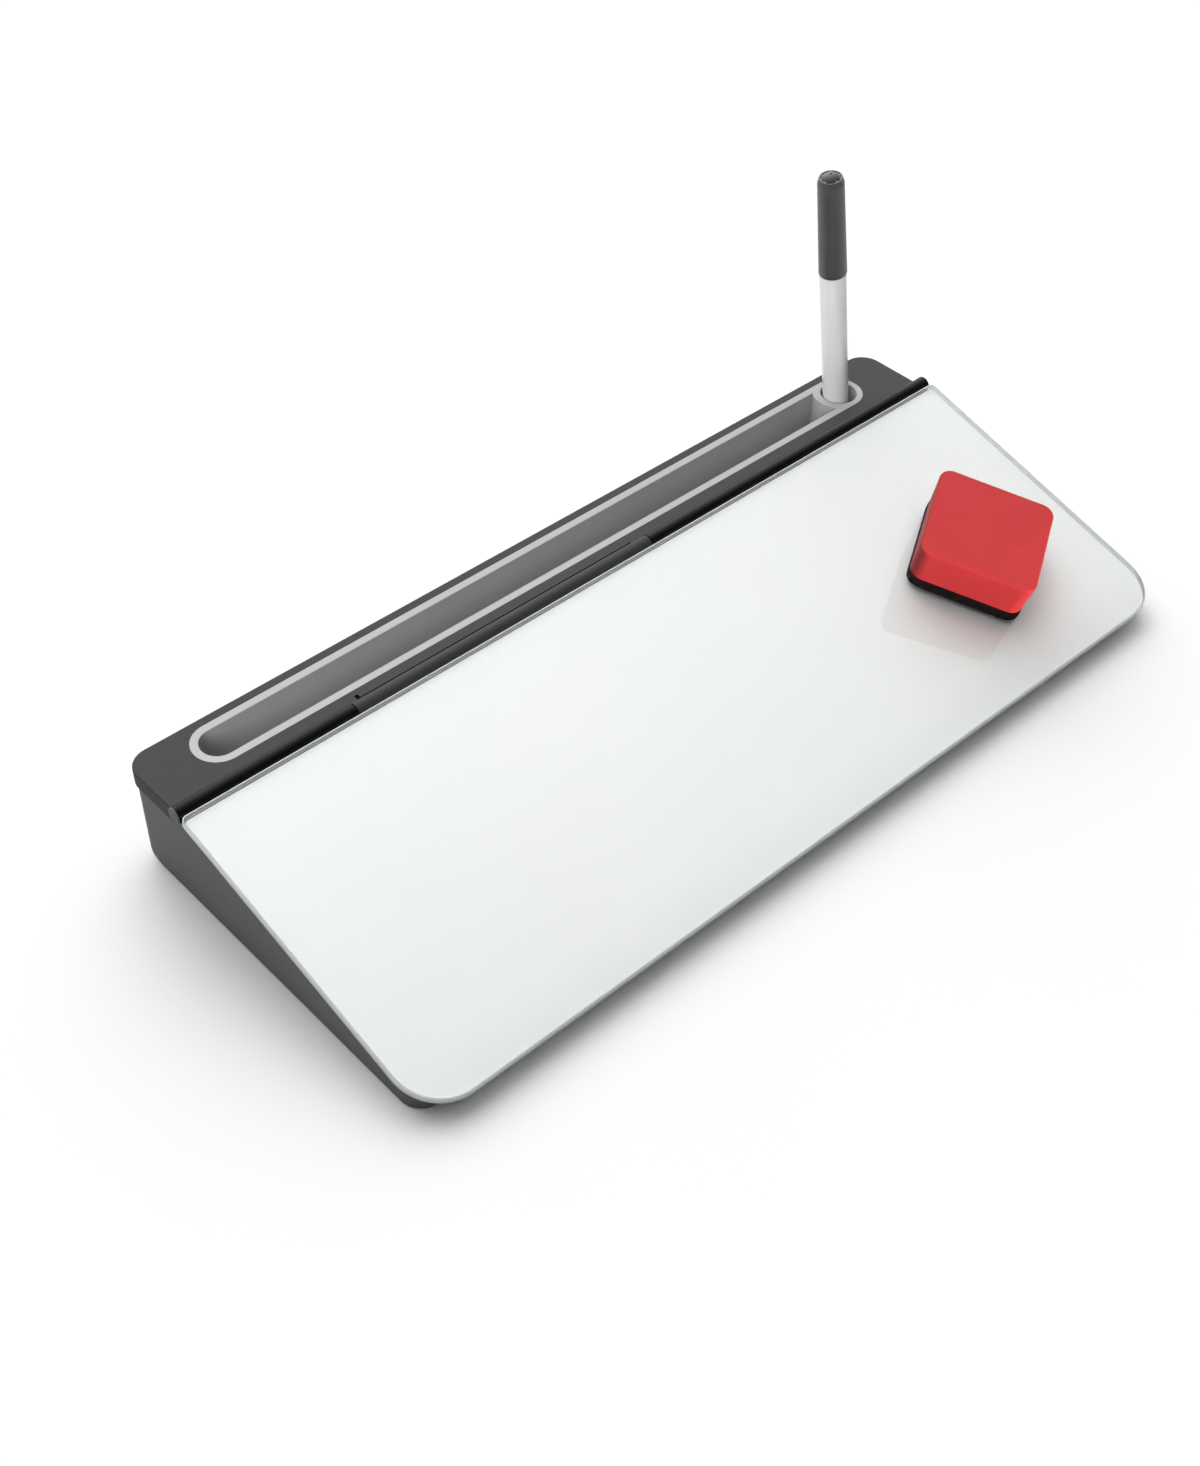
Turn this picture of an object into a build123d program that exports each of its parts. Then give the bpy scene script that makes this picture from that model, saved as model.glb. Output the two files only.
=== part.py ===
from build123d import *
import os
from math import cos, radians, sin

# Desktop glass whiteboard: a wedge-shaped storage box with a hinged glass lid, a pen tray behind the
# hinge, a marker standing in the tray's socket and a magnetic eraser lying on the glass.
# Millimetres. X runs along the hinge, +Y points to the rear, +Z up. The origin is on the table, at the
# middle of the footprint.

os.makedirs("parts", exist_ok=True)

# Glass writing board
board_length = 424.0
board_depth = 149.0
board_thickness = 4.0
board_slope = 15.3
board_front_clearance = 5.5
board_front_corner = 21.0
board_rear_corner = 2.5
board_edge_ease = 0.5

# Layers bonded under the glass
paint_thickness = 0.2
paint_border = 1.4
sheet_thickness = 0.6
sheet_side_border = 14.0
sheet_front_border = 14.0
sheet_rear_border = 3.0
tape_thickness = 0.5

# Hinge
rod_radius = 3.5
rod_gap = 0.4
rod_axis_drop = 4.1
pin_radius = 1.5
pin_clearance = 0.05
pin_end_gap = 0.4
knuckle_center_x = -48.0
knuckle_length = 158.0
knuckle_end_gap = 0.5
knuckle_plate = 3.0
knuckle_plate_drop = 15.0
knuckle_screw_drop = 10.5
knuckle_screw_count = 3
knuckle_screw_spacing = 60.0
plug_head = 0.6
plug_stem_length = 5.0
leaf_thickness = 2.0
leaf_reach = 22.0
leaf_side_gap = 1.0
cradle_gap = 0.3
cradle_tip_drop = 2.9

# Storage body
body_side_setback = 1.6
body_front_setback = 9.1
body_rear_setback = 3.0
body_front_corner = 10.0
body_rear_corner = 9.0
heel_radius = 15.0
wall = 2.6
floor_thickness = 2.5
lid_seat_gap = 0.5
cavity_rear_corner = 1.0
rib_thickness = 1.8
rib_count = 5
rib_spacing = 80.0

# Deck plate
deck_height = 45.5
deck_depth = 33.5
deck_front_gap = 0.5
deck_skirt = 7.1
deck_top = 3.0
deck_corner = 10.0
deck_front_corner = 0.6
deck_edge_round = 0.6
relief_margin = 5.0
relief_depth = 1.5
nick_width = 1.8
nick_depth = 2.0

# Pen tray
tray_offset_y = 1.1
tray_end_inset = 34.0
tray_rim_radius = 11.4
tray_slot_radius = 7.9
tray_wall = 1.4
tray_flange = 1.5
tray_depth = 22.0
tray_floor = 2.0
tray_floor_round = 5.0
tray_lip_round = 0.3
tray_fit = 0.1
socket_radius = 8.6
socket_depth = 27.0
socket_shell = 1.0
socket_bulge = 3.8
socket_floor = 2.0

# Screws, feet and bumpers
screw_radius = 1.25
screw_hole_clearance = 0.15
screw_head_radius = 2.5
screw_head_height = 1.6
deck_screw_seat = 4.0
deck_screw_grip = 5.0
boss_radius = 4.5
boss_bore_radius = 3.0
boss_inset_x = 6.6
boss_spacing_y = 16.0
foot_radius = 6.0
foot_recess = 1.0
foot_projection = 0.6
foot_inset_x = 22.0
foot_front_inset = 20.0
foot_rear_inset = 26.0
bumper_radius = 3.0
bumper_height = 1.6
bumper_gap = 0.3
bumper_post_radius = 4.0
bumper_inset = 5.2

# Marker
marker_lean = 9.4
marker_gap = 0.3
barrel_radius = 6.05
marker_depth = 26.0
barrel_length = 97.5
barrel_wall = 1.0
barrel_end_round = 0.6
end_plug_length = 6.0
reservoir_gap = 0.3
section_radius = 4.9
section_length = 13.0
section_cone = 12.0
section_tip_radius = 2.8
section_stem = 8.0
nib_radius = 1.9
nib_projection = 7.0
cap_gap = 0.3
cap_length = 47.5
cap_mouth_radius = 6.4
cap_top_radius = 5.9
cap_wall = 1.1
cap_mouth_round = 0.4
crown_height = 2.5
crown_radius = 5.1
crown_bore_radius = 4.7
crown_edge_round = 0.2
vent_plate = 1.4
vent_clearance = 0.05
vent_rib = 0.9
vent_rib_count = 5
vent_rib_start = 189.0
dome_radius = 4.1
dome_base_drop = 0.5
dome_height = 2.35
vent_hole_radius = 0.6
cap_groove_angle = 261.0
cap_groove_start = 3.2
cap_groove_length = 6.6
cap_groove_width = 0.6
cap_groove_depth = 0.35

# Eraser
eraser_top_side = 53.4
eraser_foot_side = 51.7
eraser_height = 17.0
eraser_corner = 6.0
eraser_top_round = 0.9
felt_thickness = 5.7
felt_side = 52.6
eraser_turn = 31.0
eraser_end_inset = 65.6
eraser_center_run = 85.9
eraser_gap = 0.3
felt_corner = 6.5
magnet_radius = 6.0
magnet_thickness = 2.5
magnet_spacing = 26.0
magnet_fit = 0.1

# Places that follow from the sizes above
slope_cos = cos(radians(board_slope))
slope_sin = sin(radians(board_slope))
board_half = board_length / 2
board_run = board_depth * slope_cos
rod_behind_board = rod_radius + rod_gap
axis_run = rod_behind_board * slope_cos + rod_axis_drop * slope_sin
hinge_run = axis_run + rod_radius + deck_front_gap
overall_depth = board_run + hinge_run + deck_depth
board_rear_y = board_run - overall_depth / 2
board_rear_z = board_front_clearance + board_thickness * slope_cos + board_depth * slope_sin
axis_y = board_rear_y + axis_run
axis_z = board_rear_z + rod_behind_board * slope_sin - rod_axis_drop * slope_cos
deck_front_y = board_rear_y + hinge_run
deck_rear_y = overall_depth / 2
deck_bottom_z = deck_height - deck_skirt
body_half = board_half - body_side_setback
body_front_y = body_front_setback - overall_depth / 2
body_rear_y = deck_rear_y - body_rear_setback
inner_half = body_half - wall
floor_top_z = foot_projection + floor_thickness
bay_front_y = axis_y + wall
bay_rear_y = body_rear_y - wall
knuckle_left = knuckle_center_x - knuckle_length / 2
knuckle_right = knuckle_center_x + knuckle_length / 2
seat_drop = board_thickness + lid_seat_gap - rod_axis_drop
leaf_top = board_thickness + paint_thickness + sheet_thickness + tape_thickness
tray_y = (deck_front_y + deck_rear_y) / 2 + tray_offset_y
tray_span = 2 * (body_half - tray_end_inset)
socket_x = tray_span / 2
tub_radius = tray_slot_radius + tray_wall
boss_x = body_half - boss_inset_x
boss_y = (bay_front_y + bay_rear_y) / 2
deck_screw_seat_z = deck_bottom_z - deck_screw_seat
foot_x = body_half - foot_inset_x
foot_front_y = body_front_y + foot_front_inset
foot_rear_y = body_rear_y - foot_rear_inset
bumper_x = inner_half - bumper_inset
bumper_y = body_front_y + wall + bumper_inset
bumper_top = -board_thickness - paint_thickness - bumper_gap
bumper_run = (bumper_y - board_rear_y) / slope_cos + (bumper_top - bumper_height) * slope_sin / slope_cos
marker_x = socket_x - (socket_radius - barrel_radius / cos(radians(marker_lean)) - marker_gap)
cap_start = barrel_length - marker_depth + cap_gap
bore_radius = barrel_radius - barrel_wall

# Frames. The board frame has its origin at the middle of the glass's upper rear edge, with Y up the
# slope to the rear and Z out of the writing face. The two hinge frames look along the hinge axis: one
# stands upright, the other lies along the board.
board_plane = Plane(
    origin=(0, board_rear_y, board_rear_z), x_dir=(1, 0, 0), z_dir=(0, -slope_sin, slope_cos)
)
upright_hinge = Plane(origin=(0, axis_y, axis_z), x_dir=(0, 1, 0), z_dir=(1, 0, 0))
sloped_hinge = Plane(origin=(0, axis_y, axis_z), x_dir=(0, slope_cos, slope_sin), z_dir=(1, 0, 0))
board_normal = Axis(board_plane.origin, board_plane.z_dir)

# The marker frame runs up the leaning marker from deck level. The eraser frame lies on the glass.
marker_plane = Plane(
    origin=(marker_x, tray_y, deck_height),
    x_dir=(cos(radians(marker_lean)), 0, sin(radians(marker_lean))),
    z_dir=(-sin(radians(marker_lean)), 0, cos(radians(marker_lean))),
)
eraser_place = Location(
    (board_half - eraser_end_inset, -eraser_center_run, eraser_gap), (0, 0, eraser_turn)
)
eraser_plane = Plane(board_plane.location * eraser_place)


def rounded_outline(plane, half_width, front, rear, front_radius, rear_radius):
    """A rectangle drawn on a plane, with one corner radius at its front and one at its rear."""
    with BuildSketch(plane) as outline:
        with Locations((0, (front + rear) / 2)):
            Rectangle(2 * half_width, rear - front)
        fillet(outline.vertices().group_by(Axis.Y)[0], front_radius)
        fillet(outline.vertices().group_by(Axis.Y)[-1], rear_radius)
    return outline.sketch


def save(builder, name):
    """Label the finished piece and write it under its own name."""
    builder.part.label = name
    export_step(builder.part, f"parts/{name}.step")


# Glass board with eased, polished edges
with BuildPart() as glass_board:
    extrude(
        rounded_outline(
            board_plane, board_half, -board_depth, 0, board_front_corner, board_rear_corner
        ),
        amount=-board_thickness,
    )
    flats = glass_board.faces().sort_by(board_normal)
    fillet(flats[0].edges() + flats[-1].edges(), board_edge_ease)
save(glass_board, "glass_board")

# White coat on the back of the glass, stopping short of its edges
with BuildPart() as white_back_coat:
    extrude(
        rounded_outline(
            board_plane.offset(-board_thickness),
            board_half - paint_border,
            paint_border - board_depth,
            -paint_border,
            board_front_corner - paint_border,
            board_rear_corner - paint_border,
        ),
        amount=-paint_thickness,
    )
save(white_back_coat, "white_back_coat")

# Steel sheet that lets magnets hold on the glass
with BuildPart() as steel_sheet:
    extrude(
        rounded_outline(
            board_plane.offset(-board_thickness - paint_thickness),
            board_half - sheet_side_border,
            sheet_front_border - board_depth,
            -sheet_rear_border,
            board_front_corner,
            board_rear_corner,
        ),
        amount=-sheet_thickness,
    )
save(steel_sheet, "steel_sheet")

# Hinge rails: a round rod with a leaf that reaches forward under the board
leaf_half = inner_half - leaf_side_gap
rod_end_x = board_half - plug_head
tape_reach = leaf_reach - sheet_rear_border
rail_spans = {
    "left": (-rod_end_x, knuckle_left - knuckle_end_gap),
    "right": (knuckle_right + knuckle_end_gap, rod_end_x),
}
for side, (rod_start, rod_stop) in rail_spans.items():
    leaf_start = max(rod_start, -leaf_half)
    leaf_stop = min(rod_stop, leaf_half)
    with BuildPart() as hinge_rail:
        with BuildSketch(sloped_hinge.offset(rod_start)):
            Circle(rod_radius)
        extrude(amount=rod_stop - rod_start)
        with BuildSketch(sloped_hinge.offset(leaf_start)):
            with Locations((0, rod_axis_drop - leaf_top)):
                Rectangle(rod_behind_board + leaf_reach, leaf_thickness, align=(Align.MAX, Align.MAX))
        extrude(amount=leaf_stop - leaf_start)
        with BuildSketch(sloped_hinge.offset(rod_start)):
            Circle(pin_radius + pin_clearance)
        extrude(amount=rod_stop - rod_start, mode=Mode.SUBTRACT)
    save(hinge_rail, f"hinge_rail_{side}")

    sheet_half = board_half - sheet_side_border
    tape_start = max(leaf_start, -sheet_half)
    tape_stop = min(leaf_stop, sheet_half)
    with BuildPart() as mounting_tape:
        with BuildSketch(board_plane.offset(tape_thickness - leaf_top)):
            with Locations(((tape_start + tape_stop) / 2, -sheet_rear_border)):
                Rectangle(tape_stop - tape_start, tape_reach, align=(Align.CENTER, Align.MAX))
        extrude(amount=-tape_thickness)
    save(mounting_tape, f"mounting_tape_{side}")

# Plugs that close the rods' outer ends
for side, direction in (("left", -1), ("right", 1)):
    with BuildPart() as rod_plug:
        with BuildSketch(upright_hinge.offset(direction * rod_end_x)):
            Circle(rod_radius)
        extrude(amount=direction * plug_head)
        fillet(rod_plug.edges().group_by(Axis.X)[0 if direction < 0 else -1], plug_head / 3)
        with BuildSketch(upright_hinge.offset(direction * rod_end_x)):
            Circle(pin_radius)
        extrude(amount=-direction * plug_stem_length)
    save(rod_plug, f"rod_plug_{side}")

# Hinge pin along the whole rod
pin_half = rod_end_x - plug_stem_length - pin_end_gap
with BuildPart() as hinge_pin:
    with BuildSketch(upright_hinge.offset(-pin_half)):
        Circle(pin_radius)
    extrude(amount=2 * pin_half)
save(hinge_pin, "hinge_pin")

# Fixed knuckle in the rod's line, with a plate that is screwed to the bulkhead
screw_places = GridLocations(knuckle_screw_spacing, 1, knuckle_screw_count, 1)
plate_front = Plane(
    origin=(knuckle_center_x, axis_y - knuckle_plate, axis_z - knuckle_screw_drop),
    x_dir=(1, 0, 0),
    z_dir=(0, -1, 0),
)
with BuildPart() as hinge_knuckle:
    with BuildSketch(upright_hinge.offset(knuckle_left)):
        Circle(rod_radius)
        Rectangle(knuckle_plate, knuckle_plate_drop, align=(Align.MAX, Align.MAX))
        Circle(pin_radius + pin_clearance, mode=Mode.SUBTRACT)
    extrude(amount=knuckle_length)
    with BuildSketch(plate_front):
        with screw_places:
            Circle(screw_radius + screw_hole_clearance)
    extrude(amount=-knuckle_plate, mode=Mode.SUBTRACT)
save(hinge_knuckle, "hinge_knuckle")

with BuildPart() as knuckle_screws:
    with BuildSketch(plate_front):
        with screw_places:
            Circle(screw_head_radius)
    extrude(amount=screw_head_height)
    with BuildSketch(plate_front):
        with screw_places:
            Circle(screw_radius)
    extrude(amount=-knuckle_plate - wall)
save(knuckle_screws, "knuckle_screws")

# Storage body. Seen from the side it is a wedge under the board, with a round heel, a low step under the
# deck and a cradle round the hinge rod.
seat_plane_y = axis_y + seat_drop * slope_sin
seat_plane_z = axis_z - seat_drop * slope_cos
front_reach = seat_plane_y - body_front_y + wall
bay_depth = bay_rear_y - bay_front_y
foot_places = {
    "front_left": (-foot_x, foot_front_y),
    "front_right": (foot_x, foot_front_y),
    "rear_left": (-foot_x, foot_rear_y),
    "rear_right": (foot_x, foot_rear_y),
}
with BuildPart() as storage_body:
    extrude(
        rounded_outline(
            Plane.XY.offset(foot_projection),
            body_half,
            body_front_y,
            body_rear_y,
            body_front_corner,
            body_rear_corner,
        ),
        amount=axis_z,
    )
    # Storage compartment under the lid
    extrude(
        rounded_outline(
            Plane.XY.offset(floor_top_z),
            inner_half,
            body_front_y + wall,
            axis_y,
            body_front_corner - wall,
            cavity_rear_corner,
        ),
        amount=axis_z,
        mode=Mode.SUBTRACT,
    )
    # Bay under the deck, for the tray
    with BuildSketch(Plane.YZ) as bay_profile:
        with Locations((boss_y, floor_top_z)):
            Rectangle(bay_depth, deck_height, align=(Align.CENTER, Align.MIN))
        fillet(bay_profile.vertices().group_by(Axis.X)[-1].sort_by(Axis.Y)[0], heel_radius - wall)
    extrude(amount=inner_half, both=True, mode=Mode.SUBTRACT)
    # Ribs behind the bulkhead that carry the deck's front edge
    with BuildSketch(Plane.XY.offset(floor_top_z)):
        with GridLocations(rib_spacing, 1, rib_count, 1):
            with Locations((0, bay_front_y)):
                Rectangle(
                    rib_thickness, deck_front_y + wall - bay_front_y, align=(Align.CENTER, Align.MIN)
                )
    extrude(amount=deck_bottom_z - floor_top_z)
    # Screw bosses under the deck
    with BuildSketch(Plane.XY.offset(foot_projection)):
        with Locations((0, boss_y)):
            with GridLocations(2 * boss_x, boss_spacing_y, 2, 2):
                Circle(boss_radius)
    extrude(amount=deck_bottom_z - foot_projection)
    # Side view: sloped seat, low step under the deck, round heel and cradle
    with BuildSketch(Plane.YZ) as side_profile:
        with BuildLine():
            Polyline(
                (seat_plane_y - front_reach, foot_projection),
                (body_rear_y, foot_projection),
                (body_rear_y, deck_bottom_z),
                (axis_y + rod_radius, deck_bottom_z),
                (axis_y + rod_radius, axis_z - cradle_tip_drop),
                (axis_y, axis_z - cradle_tip_drop),
                (seat_plane_y, seat_plane_z),
                (seat_plane_y - front_reach, seat_plane_z - front_reach * slope_sin / slope_cos),
                close=True,
            )
        make_face()
        fillet(side_profile.vertices().group_by(Axis.X)[-1].sort_by(Axis.Y)[0], heel_radius)
        with Locations((axis_y, axis_z)):
            Circle(rod_radius + cradle_gap, mode=Mode.SUBTRACT)
    extrude(amount=body_half + wall, both=True, mode=Mode.INTERSECT)
    # Bores through the bosses from below, for the screws and their heads
    with BuildSketch(Plane.XY.offset(foot_projection)):
        with Locations((0, boss_y)):
            with GridLocations(2 * boss_x, boss_spacing_y, 2, 2):
                Circle(boss_bore_radius)
    extrude(amount=deck_screw_seat_z - foot_projection, mode=Mode.SUBTRACT)
    with BuildSketch(Plane.XY.offset(deck_screw_seat_z)):
        with Locations((0, boss_y)):
            with GridLocations(2 * boss_x, boss_spacing_y, 2, 2):
                Circle(screw_radius + screw_hole_clearance)
    extrude(amount=deck_screw_seat, mode=Mode.SUBTRACT)
    # Corner posts for the lid's bumpers, cut off along the board's slope
    with BuildSketch(Plane.XY.offset(floor_top_z)):
        with Locations((0, bumper_y)):
            with GridLocations(2 * bumper_x, 1, 2, 1):
                Circle(bumper_post_radius)
    extrude(amount=board_front_clearance + bumper_post_radius)
    with BuildSketch(board_plane.offset(bumper_top - bumper_height)):
        with Locations((0, bumper_run)):
            with GridLocations(2 * bumper_x, 1, 2, 1):
                Rectangle(2 * bumper_inset, 2 * bumper_inset)
    extrude(amount=2 * bumper_inset, mode=Mode.SUBTRACT)
    # Pilot holes for the knuckle's screws
    with BuildSketch(plate_front.offset(-knuckle_plate)):
        with screw_places:
            Circle(screw_radius)
    extrude(amount=-wall, mode=Mode.SUBTRACT)
    # Recesses for the feet
    with BuildSketch(Plane.XY.offset(foot_projection)):
        with Locations(*foot_places.values()):
            Circle(foot_radius)
    extrude(amount=foot_recess, mode=Mode.SUBTRACT)
save(storage_body, "storage_body")

# Rubber feet
for side, place in foot_places.items():
    with BuildPart() as rubber_foot:
        with BuildSketch(Plane.XY):
            with Locations(place):
                Circle(foot_radius)
        extrude(amount=foot_projection + foot_recess)
    save(rubber_foot, f"rubber_foot_{side}")

# Bumpers that carry the lid's front corners
for side, direction in (("left", -1), ("right", 1)):
    with BuildPart() as lid_bumper:
        with BuildSketch(board_plane.offset(bumper_top - bumper_height)):
            with Locations((direction * bumper_x, bumper_run)):
                Circle(bumper_radius)
        extrude(amount=bumper_height)
    save(lid_bumper, f"lid_bumper_{side}")

# Deck plate behind the hinge, a shallow tray turned upside down
with BuildPart() as deck_plate:
    extrude(
        rounded_outline(
            Plane.XY.offset(deck_bottom_z),
            body_half,
            deck_front_y,
            deck_rear_y,
            deck_front_corner,
            deck_corner,
        ),
        amount=deck_skirt,
    )
    fillet(deck_plate.faces().sort_by(Axis.Z)[-1].edges(), deck_edge_round)
    extrude(
        rounded_outline(
            Plane.XY.offset(deck_bottom_z),
            inner_half,
            deck_front_y + wall,
            bay_rear_y,
            cavity_rear_corner,
            body_rear_corner - wall,
        ),
        amount=deck_skirt - deck_top,
        mode=Mode.SUBTRACT,
    )
    # Bosses on the body's bosses, with pilot holes
    with BuildSketch(Plane.XY.offset(deck_bottom_z)):
        with Locations((0, boss_y)):
            with GridLocations(2 * boss_x, boss_spacing_y, 2, 2):
                Circle(boss_radius)
    extrude(amount=deck_skirt - deck_top)
    with BuildSketch(Plane.XY.offset(deck_bottom_z)):
        with Locations((0, boss_y)):
            with GridLocations(2 * boss_x, boss_spacing_y, 2, 2):
                Circle(screw_radius)
    extrude(amount=deck_screw_grip, mode=Mode.SUBTRACT)
    # Opening for the tray, with a rebate for its flange
    with BuildSketch(Plane.XY.offset(deck_height)):
        with Locations((0, tray_y)):
            SlotCenterToCenter(tray_span, 2 * (tub_radius + tray_fit))
    extrude(amount=-deck_skirt, mode=Mode.SUBTRACT)
    with BuildSketch(Plane.XY.offset(deck_height)):
        with Locations((0, tray_y)):
            SlotCenterToCenter(tray_span, 2 * (tray_rim_radius + tray_fit))
    extrude(amount=-tray_flange, mode=Mode.SUBTRACT)
    # Front edge stepped back behind the fixed knuckle, with a nick at its left end
    with BuildSketch(Plane.XY.offset(deck_height)):
        with Locations((knuckle_left + relief_margin, deck_front_y)):
            Rectangle(
                knuckle_length - 2 * relief_margin, relief_depth, align=(Align.MIN, Align.MIN)
            )
            Rectangle(nick_width, relief_depth + nick_depth, align=(Align.MIN, Align.MIN))
    extrude(amount=-deck_top, mode=Mode.SUBTRACT)
save(deck_plate, "deck_plate")

# Screws from below into the deck
with BuildPart() as deck_screws:
    with BuildSketch(Plane.XY.offset(deck_screw_seat_z)):
        with Locations((0, boss_y)):
            with GridLocations(2 * boss_x, boss_spacing_y, 2, 2):
                Circle(screw_head_radius)
    extrude(amount=-screw_head_height)
    with BuildSketch(Plane.XY.offset(deck_screw_seat_z)):
        with Locations((0, boss_y)):
            with GridLocations(2 * boss_x, boss_spacing_y, 2, 2):
                Circle(screw_radius)
    extrude(amount=deck_screw_seat + deck_screw_grip)
save(deck_screws, "deck_screws")

# Hollow of the pen slot, with a round floor; the socket's tube stands in its right end
with BuildPart() as slot_hollow:
    with BuildSketch(Plane.XY.offset(deck_height - tray_depth)):
        with Locations((0, tray_y)):
            SlotCenterToCenter(tray_span, 2 * tray_slot_radius)
    extrude(amount=tray_depth)
    fillet(slot_hollow.faces().sort_by(Axis.Z)[0].edges(), tray_floor_round)
    with BuildSketch(Plane.XY.offset(deck_height)):
        with Locations((socket_x, tray_y)):
            Circle(socket_radius + socket_bulge)
    extrude(amount=-tray_depth, mode=Mode.SUBTRACT)

# Pen tray hanging in the deck by its flange
with BuildPart() as pen_tray:
    with BuildSketch(Plane.XY.offset(deck_height)):
        with Locations((0, tray_y)):
            SlotCenterToCenter(tray_span, 2 * tray_rim_radius)
    extrude(amount=-tray_flange)
    with BuildSketch(Plane.XY.offset(deck_height)):
        with Locations((0, tray_y)):
            SlotCenterToCenter(tray_span, 2 * tub_radius)
    extrude(amount=-tray_depth - tray_floor)
    with BuildSketch(Plane.XY.offset(deck_height)):
        with Locations((socket_x, tray_y)):
            Circle(socket_radius + socket_shell)
    extrude(amount=-socket_depth - socket_floor)
    add(slot_hollow.part, mode=Mode.SUBTRACT)
    with BuildSketch(Plane.XY.offset(deck_height)):
        with Locations((socket_x, tray_y)):
            Circle(socket_radius)
    extrude(amount=-socket_depth, mode=Mode.SUBTRACT)
    rim = pen_tray.faces().sort_by(Axis.Z)[-1]
    fillet(rim.inner_wires().edges(), tray_lip_round)
save(pen_tray, "pen_tray")

# Marker standing in the socket, point up under its cap
foot_level = -marker_depth
shoulder_level = barrel_length - marker_depth
stem_level = shoulder_level - section_stem
tip_level = shoulder_level + section_length + section_cone
with BuildPart() as marker_barrel:
    with BuildSketch(marker_plane.offset(foot_level)):
        Circle(barrel_radius)
    extrude(amount=barrel_length)
    ends = marker_barrel.edges().filter_by(GeomType.CIRCLE).sort_by(Axis.Z)
    fillet(ends[0], barrel_end_round)
    with BuildSketch(marker_plane.offset(foot_level)):
        Circle(bore_radius)
    extrude(amount=barrel_length, mode=Mode.SUBTRACT)
save(marker_barrel, "marker_barrel")

with BuildPart() as marker_end_plug:
    with BuildSketch(marker_plane.offset(foot_level)):
        Circle(bore_radius)
    extrude(amount=end_plug_length)
save(marker_end_plug, "marker_end_plug")

reservoir_level = foot_level + end_plug_length + reservoir_gap
with BuildPart() as ink_reservoir:
    with BuildSketch(marker_plane.offset(reservoir_level)):
        Circle(bore_radius - reservoir_gap)
    extrude(amount=stem_level - reservoir_gap - reservoir_level)
save(ink_reservoir, "ink_reservoir")

with BuildPart() as marker_section:
    with BuildSketch(marker_plane.offset(stem_level)):
        Circle(bore_radius)
    extrude(amount=section_stem)
    with BuildSketch(marker_plane.offset(shoulder_level)):
        Circle(section_radius)
    extrude(amount=section_length)
    with BuildSketch(marker_plane.offset(shoulder_level + section_length)):
        Circle(section_radius)
    with BuildSketch(marker_plane.offset(tip_level)):
        Circle(section_tip_radius)
    loft()
    with BuildSketch(marker_plane.offset(stem_level)):
        Circle(nib_radius)
    extrude(amount=tip_level - stem_level, mode=Mode.SUBTRACT)
save(marker_section, "marker_section")

with BuildPart() as marker_nib:
    with BuildSketch(marker_plane.offset(stem_level)):
        Circle(nib_radius)
    extrude(amount=tip_level + nib_projection - stem_level)
    tip = marker_nib.edges().filter_by(GeomType.CIRCLE).sort_by(Axis.Z)[-1]
    fillet(tip, nib_radius * 0.9)
save(marker_nib, "marker_nib")

# Cap: a tapered tube with a steeper crown, and a vent dome set in the crown's open top
cap_axis = Axis(marker_plane.origin, marker_plane.z_dir)
crown_level = cap_start + cap_length
rim_level = crown_level + crown_height
plate_level = rim_level - dome_base_drop
with BuildPart() as marker_cap:
    with BuildSketch(marker_plane.offset(cap_start)):
        Circle(cap_mouth_radius)
    with BuildSketch(marker_plane.offset(crown_level)):
        Circle(cap_top_radius)
    loft()
    mouth_edge = marker_cap.edges().filter_by(GeomType.CIRCLE).sort_by(cap_axis)[0]
    fillet(mouth_edge, cap_mouth_round)
    with BuildSketch(marker_plane.offset(crown_level)):
        Circle(cap_top_radius)
    with BuildSketch(marker_plane.offset(rim_level)):
        Circle(crown_radius)
    loft()
    rim_edge = marker_cap.edges().filter_by(GeomType.CIRCLE).sort_by(cap_axis)[-1]
    fillet(rim_edge, crown_edge_round)
    with BuildSketch(marker_plane.offset(cap_start)):
        Circle(cap_mouth_radius - cap_wall)
    with BuildSketch(marker_plane.offset(plate_level - vent_plate)):
        Circle(crown_bore_radius)
    loft(mode=Mode.SUBTRACT)
    with BuildSketch(marker_plane.offset(plate_level - vent_plate)):
        Circle(crown_bore_radius)
    extrude(amount=vent_plate + dome_base_drop, mode=Mode.SUBTRACT)
    # Short groove near the mouth
    with BuildSketch(marker_plane.offset(cap_start + cap_groove_start)):
        with PolarLocations(cap_mouth_radius, 1, cap_groove_angle):
            Rectangle(2 * cap_groove_depth, cap_groove_width)
    extrude(amount=cap_groove_length, mode=Mode.SUBTRACT)
save(marker_cap, "marker_cap")

vent_radius = crown_bore_radius - vent_clearance
dome_curve = (dome_radius**2 + dome_height**2) / (2 * dome_height)
with BuildPart() as cap_vent:
    with Locations(marker_plane.offset(plate_level + dome_height - dome_curve).location):
        Sphere(dome_curve)
    with BuildSketch(marker_plane.offset(plate_level)):
        Circle(cap_mouth_radius)
    extrude(amount=-2 * dome_curve, mode=Mode.SUBTRACT)
    with BuildSketch(marker_plane.offset(plate_level)):
        Circle(vent_radius)
    extrude(amount=-vent_plate)
    with BuildSketch(marker_plane.offset(plate_level)):
        with PolarLocations(vent_radius / 2, vent_rib_count, vent_rib_start):
            Rectangle(vent_radius, vent_rib)
        Circle(vent_radius, mode=Mode.INTERSECT)
    extrude(amount=dome_base_drop)
    with BuildSketch(marker_plane.offset(plate_level - vent_plate)):
        Circle(vent_hole_radius)
    extrude(amount=vent_plate + dome_height, mode=Mode.SUBTRACT)
save(cap_vent, "cap_vent")

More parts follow.
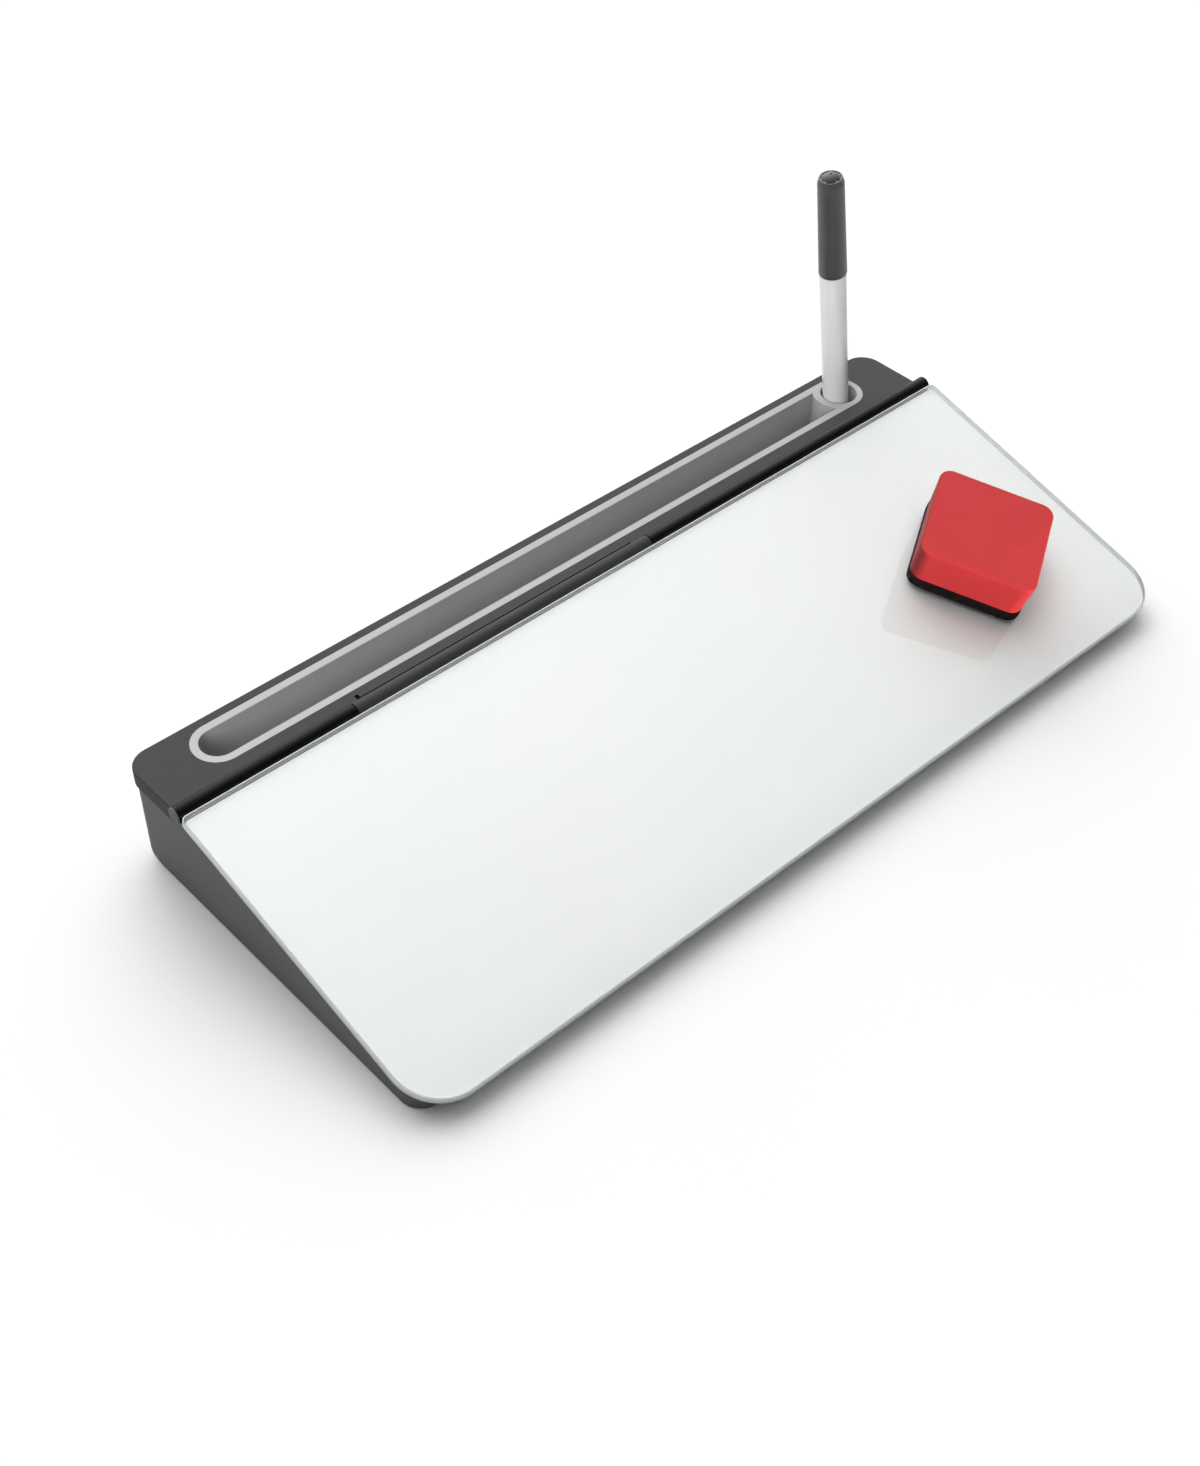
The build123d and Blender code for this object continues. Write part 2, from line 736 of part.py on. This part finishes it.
# Eraser: a flared block with magnets over a felt pad
magnet_places = GridLocations(magnet_spacing, magnet_spacing, 2, 2)
with BuildPart() as eraser_felt:
    with BuildSketch(eraser_plane):
        RectangleRounded(felt_side, felt_side, felt_corner)
    extrude(amount=felt_thickness)
save(eraser_felt, "eraser_felt")

with BuildPart() as eraser_body:
    with BuildSketch(eraser_plane.offset(felt_thickness)):
        RectangleRounded(eraser_foot_side, eraser_foot_side, eraser_corner)
    with BuildSketch(eraser_plane.offset(felt_thickness + eraser_height)):
        RectangleRounded(eraser_top_side, eraser_top_side, eraser_corner)
    loft()
    fillet(eraser_body.faces().sort_by(board_normal)[-1].edges(), eraser_top_round)
    with BuildSketch(eraser_plane.offset(felt_thickness)):
        with magnet_places:
            Circle(magnet_radius + magnet_fit)
    extrude(amount=magnet_thickness, mode=Mode.SUBTRACT)
save(eraser_body, "eraser_body")

with BuildPart() as eraser_magnets:
    with BuildSketch(eraser_plane.offset(felt_thickness)):
        with magnet_places:
            Circle(magnet_radius)
    extrude(amount=magnet_thickness)
save(eraser_magnets, "eraser_magnets")
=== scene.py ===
import math

import bpy
from mathutils import Euler, Matrix, Vector


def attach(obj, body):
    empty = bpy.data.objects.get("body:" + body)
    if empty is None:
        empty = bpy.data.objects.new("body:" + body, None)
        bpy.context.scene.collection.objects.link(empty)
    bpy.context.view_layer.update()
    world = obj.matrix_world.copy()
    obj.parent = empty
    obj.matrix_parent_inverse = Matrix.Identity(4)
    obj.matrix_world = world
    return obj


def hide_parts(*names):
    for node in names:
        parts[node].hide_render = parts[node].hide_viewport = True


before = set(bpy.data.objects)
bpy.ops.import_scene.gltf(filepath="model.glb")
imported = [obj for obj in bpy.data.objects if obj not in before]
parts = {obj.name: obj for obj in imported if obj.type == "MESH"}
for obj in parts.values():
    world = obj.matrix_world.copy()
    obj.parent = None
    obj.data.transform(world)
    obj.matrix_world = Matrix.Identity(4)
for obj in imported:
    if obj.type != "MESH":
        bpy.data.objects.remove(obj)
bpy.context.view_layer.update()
MM = 0.001

# Board in mm: the plate and its corners, and how its white coat lies on it
BOARD_HALF = 212
BOARD_DEPTH = 149
GLASS_THICKNESS = 4
FRONT_CORNER = 21
REAR_CORNER = 2.5
EDGE_EASE = 0.5
COAT_BORDER = 1.4
COAT_BELOW = 0.2
COAT_INSIDE = 1.4
# Middle of the glass's upper rear edge, in mm, and the board's slope in degrees
BOARD_REAR = (0, 50.688, 48.675)
BOARD_SLOPE = 15.3
# Felt under the eraser, in mm
FELT_HALF = 26.3
FELT_THICKNESS = 5.7
FELT_CORNER = 6.5
FELT_RIM = 0.9
FELT_CELL = 0.7
TUFT_SIZE = 1.6
TUFT_DEPTH = 0.35
# The eraser on the board: to the right, up the slope and off the glass in mm, and its turn in degrees
ERASER_PLACE = (146.4, -85.9, 0.3)
ERASER_TURN = 31
# How flat a face of the plate lies to count as its top or underside, and which edges are sharp
FLAT = 0.99
SHARP = math.radians(60)
SMOOTH = math.radians(40)
# Floor, in metres
FLOOR_RADIUS = 20
FLOOR_SIDES = 96
# Sky: where its bright field lies, how fast it fades, its strength and that of the rest
KEY_FROM = (0.32, 0.72, 0.72)
KEY_POWER = 3.0
KEY_LEVEL = 3.75
DOME_LEVEL = 0.03
# Camera at the photograph's angle: lens and film height in mm, place in metres, turn in degrees
LENS = 49.215
FILM_HEIGHT = 36.0
CAMERA_PLACE = (-0.44545, -0.42366, 0.59230)
CAMERA_TURN = (45.5766, -0.7861, -42.4741)


def linear(hex_colour):
    """A colour written as sRGB hex, as the linear values that a shader socket takes."""
    steps = [int(hex_colour[i:i + 2], 16) / 255 for i in (1, 3, 5)]
    return [c / 12.92 if c <= 0.04045 else ((c + 0.055) / 1.055) ** 2.4 for c in steps] + [1.0]


def add(tree, kind, settings=None, links=None):
    """One node with its settings, and its inputs linked from (node, output) pairs."""
    node = tree.nodes.new(kind)
    for key, value in (settings or {}).items():
        if isinstance(key, int) or key in node.inputs:
            node.inputs[key].default_value = value
        else:
            setattr(node, key, value)
    for key, (source, output) in (links or {}).items():
        tree.links.new(source.outputs[output], node.inputs[key])
    return node


def grained(name, colour, second, spot_mm, grain_mm, depth_mm, roughness, spread, **sockets):
    """A material: slow drift between two near colours and in the gloss, and a fine grain in the bump."""
    material = bpy.data.materials.new(name)
    material.use_nodes = True
    tree = material.node_tree
    shader = tree.nodes["Principled BSDF"]
    for key, value in sockets.items():
        shader.inputs[key.replace("_", " ")].default_value = value
    place = add(tree, "ShaderNodeTexCoord")
    drift = add(
        tree,
        "ShaderNodeTexNoise",
        {"Scale": 1 / (spot_mm * MM), "Detail": 3.0},
        {"Vector": (place, "Object")},
    )
    ramp = add(tree, "ShaderNodeValToRGB", links={"Fac": (drift, "Fac")})
    ramp.color_ramp.elements[0].position = 0.35
    ramp.color_ramp.elements[1].position = 0.65
    ramp.color_ramp.elements[0].color = linear(colour)
    ramp.color_ramp.elements[1].color = linear(second)
    tree.links.new(ramp.outputs["Color"], shader.inputs["Base Color"])
    shine = add(
        tree,
        "ShaderNodeMapRange",
        {"To Min": roughness - spread, "To Max": roughness + spread},
        {"Value": (drift, "Fac")},
    )
    tree.links.new(shine.outputs["Result"], shader.inputs["Roughness"])
    grain = add(
        tree,
        "ShaderNodeTexNoise",
        {"Scale": 1 / (grain_mm * MM), "Detail": 2.0},
        {"Vector": (place, "Object")},
    )
    bump = add(
        tree,
        "ShaderNodeBump",
        {"Strength": 0.6, "Distance": depth_mm * MM},
        {"Height": (grain, "Fac")},
    )
    tree.links.new(bump.outputs["Normal"], shader.inputs["Normal"])
    return material


def finish_with(material, *names):
    """Give CAD nodes a material in place of their own."""
    for name in names:
        node = parts[name]
        node.data.materials.clear()
        node.data.materials.append(material)


# ABS moulded with a fine matte texture: mid grey, soft highlights
body_abs = grained(
    "matte_abs_body",
    "#5f5f5f",
    "#626262",
    spot_mm=30,
    grain_mm=0.5,
    depth_mm=0.02,
    roughness=0.65,
    spread=0.04,
    Specular_IOR_Level=0.25,
)
# The same plastic with a darker pigment for the deck
deck_abs = grained(
    "matte_abs_deck",
    "#363636",
    "#393939",
    spot_mm=30,
    grain_mm=0.5,
    depth_mm=0.02,
    roughness=0.65,
    spread=0.04,
    Specular_IOR_Level=0.2,
)
# ABS in light grey with a satin gloss, for the tray insert
tray_abs = grained(
    "satin_abs_tray",
    "#8a8a8a",
    "#8d8d8d",
    spot_mm=40,
    grain_mm=0.6,
    depth_mm=0.01,
    roughness=0.45,
    spread=0.03,
    Specular_IOR_Level=0.25,
)
# Aluminium rod anodised black: dark, with a long soft highlight
black_anodised = grained(
    "black_anodised_rod",
    "#0b0b0c",
    "#0e0e0f",
    spot_mm=25,
    grain_mm=0.4,
    depth_mm=0.004,
    roughness=0.36,
    spread=0.03,
    Specular_IOR_Level=0.1,
)
# Bare steel, ground: bright with a fine drift in its gloss
ground_steel = grained(
    "ground_steel",
    "#a9aaac",
    "#b4b5b7",
    spot_mm=6,
    grain_mm=0.3,
    depth_mm=0.004,
    roughness=0.3,
    spread=0.05,
    Metallic=1.0,
)
# Foam tape: near black, dull, with a fine open grain
foam_tape = grained(
    "black_foam_tape",
    "#1b1b1b",
    "#222222",
    spot_mm=3,
    grain_mm=0.5,
    depth_mm=0.05,
    roughness=0.85,
    spread=0.05,
)
# Moulded rubber: near black, dull
moulded_rubber = grained(
    "moulded_rubber",
    "#191919",
    "#1e1e1e",
    spot_mm=5,
    grain_mm=0.4,
    depth_mm=0.02,
    roughness=0.75,
    spread=0.05,
)
# Injection moulded polypropylene barrel: light, glossy, with a clear highlight along it
barrel_pp = grained(
    "glossy_pp_barrel",
    "#bebebd",
    "#bcbcbb",
    spot_mm=20,
    grain_mm=0.8,
    depth_mm=0.002,
    roughness=0.2,
    spread=0.03,
    Coat_Weight=0.2,
)
# Polypropylene cap: dark grey with a satin skin
cap_pp = grained(
    "satin_pp_cap",
    "#4d4d4d",
    "#505050",
    spot_mm=12,
    grain_mm=0.5,
    depth_mm=0.006,
    roughness=0.42,
    spread=0.04,
)
# Bonded fibre soaked with ink: blue-black, no gloss
ink_fibre = grained(
    "ink_soaked_fibre",
    "#17171c",
    "#202026",
    spot_mm=2,
    grain_mm=0.3,
    depth_mm=0.05,
    roughness=0.9,
    spread=0.03,
)
# Eraser block moulded in red ABS with a satin skin
red_abs = grained(
    "satin_red_abs",
    "#902526",
    "#8c2324",
    spot_mm=20,
    grain_mm=0.5,
    depth_mm=0.006,
    roughness=0.55,
    spread=0.04,
    Specular_IOR_Level=0.15,
)
# Wool felt pressed dense: near black with a red-brown cast, its fibres catching light at the rim
wool_felt = grained(
    "pressed_wool_felt",
    "#2a1f21",
    "#33272a",
    spot_mm=2.5,
    grain_mm=0.25,
    depth_mm=0.25,
    roughness=0.93,
    spread=0.04,
    Specular_IOR_Level=0.1,
)
# Nickel plating on the magnets: bright and smooth, slightly warm
nickel = grained(
    "nickel_plating",
    "#c9c7c2",
    "#d0cec9",
    spot_mm=4,
    grain_mm=0.5,
    depth_mm=0.002,
    roughness=0.18,
    spread=0.03,
    Metallic=1.0,
)
# White enamel sprayed on the back of the glass: even, with no gloss of its own
back_enamel = grained(
    "white_back_enamel",
    "#eff1f0",
    "#eef0ef",
    spot_mm=60,
    grain_mm=1.0,
    depth_mm=0.002,
    roughness=0.7,
    spread=0.03,
    Specular_IOR_Level=0.05,
)
# Float glass: clear, with a faint wave from its making. Its index is set low, so that the coat
# behind it shows white, and a clear skin over it carries the mirror image
float_glass = grained(
    "float_glass",
    "#fdfefe",
    "#fcfefd",
    spot_mm=80,
    grain_mm=40,
    depth_mm=0.0003,
    roughness=0.01,
    spread=0.004,
    IOR=1.15,
    Transmission_Weight=1.0,
    Coat_Weight=0.45,
    Coat_IOR=1.75,
    Coat_Roughness=0.01,
)
# The same glass at its ground and polished edges: a little darker and greener, with grinding marks
edge_glass = grained(
    "polished_glass_edge",
    "#dfe4e2",
    "#dce2df",
    spot_mm=15,
    grain_mm=0.8,
    depth_mm=0.002,
    roughness=0.25,
    spread=0.03,
    IOR=1.15,
    Transmission_Weight=0.35,
    Coat_Weight=0.6,
    Coat_IOR=1.5,
    Coat_Roughness=0.08,
)
# White background paper under everything: matt, with a slight tooth
paper = grained(
    "white_paper_floor",
    "#fafafa",
    "#f9f9f9",
    spot_mm=200,
    grain_mm=1.0,
    depth_mm=0.01,
    roughness=0.9,
    spread=0.02,
)

finish_with(body_abs, "storage_body", "rod_plug_left")
finish_with(deck_abs, "deck_plate", "hinge_knuckle")
finish_with(tray_abs, "pen_tray")
finish_with(black_anodised, "hinge_rail_left", "hinge_rail_right", "rod_plug_right")
finish_with(ground_steel, "hinge_pin", "knuckle_screws", "deck_screws", "steel_sheet")
finish_with(foam_tape, "mounting_tape_left", "mounting_tape_right")
finish_with(
    moulded_rubber,
    "rubber_foot_front_left",
    "rubber_foot_front_right",
    "rubber_foot_rear_left",
    "rubber_foot_rear_right",
    "lid_bumper_left",
    "lid_bumper_right",
)
finish_with(barrel_pp, "marker_barrel", "marker_end_plug")
finish_with(cap_pp, "marker_section", "marker_cap", "cap_vent")
finish_with(ink_fibre, "ink_reservoir", "marker_nib")
finish_with(red_abs, "eraser_body")
finish_with(nickel, "eraser_magnets")

# The marker throws no mirror image on the board
for name in (
    "marker_barrel",
    "marker_end_plug",
    "ink_reservoir",
    "marker_section",
    "marker_nib",
    "marker_cap",
    "cap_vent",
):
    parts[name].visible_glossy = False

# The board's frame: origin at the middle of the glass's upper rear edge, Y up the slope, Z outwards
board_frame = Matrix.Translation([length * MM for length in BOARD_REAR]) @ Matrix.Rotation(
    math.radians(BOARD_SLOPE), 4, "X"
)
# The eraser's frame on the board: origin in the middle of its felt's underside
eraser_frame = (
    board_frame
    @ Matrix.Translation([length * MM for length in ERASER_PLACE])
    @ Matrix.Rotation(math.radians(ERASER_TURN), 4, "Z")
)


def slab(name, half_width, front, rear, bottom, top):
    """A rectangular slab in mm, ready for its corners to be rounded."""
    bpy.ops.object.select_all(action="DESELECT")
    bpy.ops.mesh.primitive_cube_add(
        size=1, location=(0, (front + rear) / 2 * MM, (bottom + top) / 2 * MM)
    )
    piece = bpy.context.object
    piece.name = name
    piece.scale = (2 * half_width * MM, (rear - front) * MM, (top - bottom) * MM)
    bpy.ops.object.transform_apply(location=True, scale=True)
    return piece


def in_front(point):
    """Whether a point lies in the front half of the board."""
    return point.y < -BOARD_DEPTH / 2 * MM


def behind(point):
    """Whether a point lies in the rear half of the board."""
    return not in_front(point)


def anywhere(point):
    """True for every point, to round all four corners alike."""
    return True


def round_corners(piece, chosen, radius, segments):
    """Round the upright edges whose middle is a chosen point, in edit mode."""
    bpy.ops.object.mode_set(mode="EDIT")
    bpy.ops.mesh.select_mode(type="EDGE")
    bpy.ops.mesh.select_all(action="DESELECT")
    bpy.ops.object.mode_set(mode="OBJECT")
    points = piece.data.vertices
    for edge in piece.data.edges:
        a, b = (points[i].co for i in edge.vertices)
        upright = abs(a.z - b.z) > 1e-6 and (a.xy - b.xy).length < 1e-6
        edge.select = upright and chosen((a + b) / 2)
    bpy.ops.object.mode_set(mode="EDIT")
    bpy.ops.mesh.bevel(offset=radius * MM, segments=segments, profile=0.5, affect="EDGES")
    bpy.ops.object.mode_set(mode="OBJECT")


def ease_rims(piece, width):
    """Bevel the sharp rims of a slab all round. Gives the modifier, still to be applied."""
    rims = piece.modifiers.new("rims", "BEVEL")
    rims.width = width * MM
    rims.segments = 3
    rims.limit_method = "ANGLE"
    rims.angle_limit = SHARP
    return rims


def settle(piece, place):
    """Put a piece's place into its mesh and leave its object at the origin."""
    piece.data.transform(place @ piece.matrix_world)
    piece.matrix_world = Matrix.Identity(4)


# Glass plate: rounded corners, with its edges eased all round
glass = slab("glass_plate", BOARD_HALF, -BOARD_DEPTH, 0, -GLASS_THICKNESS, 0)
round_corners(glass, in_front, FRONT_CORNER, 20)
round_corners(glass, behind, REAR_CORNER, 6)
glass.data.materials.append(float_glass)
glass.data.materials.append(edge_glass)
ease_rims(glass, EDGE_EASE)
bpy.ops.object.modifier_apply(modifier="rims")
for face in glass.data.polygons:
    face.material_index = 0 if abs(face.normal.z) > FLAT else 1
bpy.ops.object.shade_smooth_by_angle(angle=SMOOTH)
settle(glass, board_frame)
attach(glass, "lid")
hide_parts("glass_board")

# White coat bonded to the glass's underside: its upper skin lies just inside the glass
coat = slab(
    "coat_on_glass",
    BOARD_HALF - COAT_BORDER,
    COAT_BORDER - BOARD_DEPTH,
    -COAT_BORDER,
    -GLASS_THICKNESS - COAT_BELOW,
    COAT_INSIDE - GLASS_THICKNESS,
)
round_corners(coat, in_front, FRONT_CORNER - COAT_BORDER, 16)
round_corners(coat, behind, REAR_CORNER - COAT_BORDER, 6)
settle(coat, board_frame)
coat.data.materials.append(back_enamel)
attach(coat, "lid")
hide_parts("white_back_coat")

# Felt pad under the eraser: soft rims and a slightly uneven, fibrous surface
felt = slab("felt_pad", FELT_HALF, -FELT_HALF, FELT_HALF, 0, FELT_THICKNESS)
round_corners(felt, anywhere, FELT_CORNER, 10)
ease_rims(felt, FELT_RIM)
bpy.ops.object.modifier_apply(modifier="rims")
cells = felt.modifiers.new("cells", "REMESH")
cells.mode = "VOXEL"
cells.voxel_size = FELT_CELL * MM
bpy.ops.object.modifier_apply(modifier="cells")
tufts = bpy.data.textures.new("tufts", "CLOUDS")
tufts.noise_scale = TUFT_SIZE * MM
uneven = felt.modifiers.new("uneven", "DISPLACE")
uneven.texture = tufts
uneven.texture_coords = "LOCAL"
uneven.strength = TUFT_DEPTH * MM
uneven.mid_level = 1.0
bpy.ops.object.modifier_apply(modifier="uneven")
bpy.ops.object.shade_smooth()
felt.data.materials.clear()
felt.data.materials.append(wool_felt)
settle(felt, eraser_frame)
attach(felt, "eraser")
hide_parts("eraser_felt")

# Floor, round and wide enough that no camera sees its end close by
bpy.ops.object.select_all(action="DESELECT")
bpy.ops.mesh.primitive_circle_add(
    vertices=FLOOR_SIDES, radius=FLOOR_RADIUS, fill_type="NGON", location=(0, 0, 0)
)
floor = bpy.context.object
floor.name = "floor"
floor.data.materials.append(paper)

# Sky: a dim even dome with a broad bright field behind and above, to the right
world = bpy.data.worlds.new("studio")
bpy.context.scene.world = world
world.use_nodes = True
sky = world.node_tree
toward = add(sky, "ShaderNodeTexCoord")
facing = add(
    sky,
    "ShaderNodeVectorMath",
    {"operation": "DOT_PRODUCT"},
    {0: (toward, "Generated")},
)
facing.inputs[1].default_value = Vector(KEY_FROM).normalized()
lobe = add(sky, "ShaderNodeMath", {"operation": "MAXIMUM", 1: 0.0}, {0: (facing, "Value")})
narrowed = add(sky, "ShaderNodeMath", {"operation": "POWER", 1: KEY_POWER}, {0: (lobe, "Value")})
bright = add(
    sky,
    "ShaderNodeMath",
    {"operation": "MULTIPLY_ADD", 1: KEY_LEVEL, 2: DOME_LEVEL},
    {0: (narrowed, "Value")},
)
# Beyond the floor the camera sees a white backdrop, which lights nothing
seen = add(sky, "ShaderNodeLightPath")
backdrop = add(
    sky,
    "ShaderNodeMath",
    {"operation": "MAXIMUM"},
    {0: (bright, "Value"), 1: (seen, "Is Camera Ray")},
)
dome = sky.nodes["Background"]
dome.inputs["Color"].default_value = (1, 1, 1, 1)
sky.links.new(backdrop.outputs["Value"], dome.inputs["Strength"])


def softbox(name, place, size, watts, rule, *objects):
    """A square lamp aimed at the object that lights only some objects, or all but some."""
    lamp = bpy.data.lights.new(name, "AREA")
    lamp.energy = watts
    lamp.size = size
    holder = bpy.data.objects.new(name, lamp)
    bpy.context.scene.collection.objects.link(holder)
    holder.location = place
    holder.rotation_euler = (-holder.location).to_track_quat("-Z", "Y").to_euler()
    holder.visible_glossy = False
    group = bpy.data.collections.new(name)
    for thing in objects:
        group.objects.link(thing)
    holder.light_linking.receiver_collection = group
    for member in group.collection_objects:
        member.light_linking.link_state = rule


# A large box high on the left, flagged off the floor, a small one low in front for the eraser
# alone, and one from the left for the tray and the barrel. Places and sizes are in metres
softbox("side_box", (-0.5, -0.5, 2.3), 2.2, 22, "EXCLUDE", floor)
softbox("front_box", (-0.05, -1.2, 0.1), 0.6, 66, "INCLUDE", parts["eraser_body"])
softbox("left_box", (-1.2, -0.5, 0.7), 0.8, 28, "INCLUDE", parts["pen_tray"], parts["marker_barrel"])

# Camera
camera = bpy.data.cameras.new("camera")
camera.sensor_fit = "VERTICAL"
camera.sensor_height = FILM_HEIGHT
camera.lens = LENS
eye = bpy.data.objects.new("camera", camera)
bpy.context.scene.collection.objects.link(eye)
eye.location = CAMERA_PLACE
eye.rotation_euler = Euler([math.radians(angle) for angle in CAMERA_TURN])
bpy.context.scene.camera = eye
bpy.context.scene.view_settings.view_transform = "Standard"
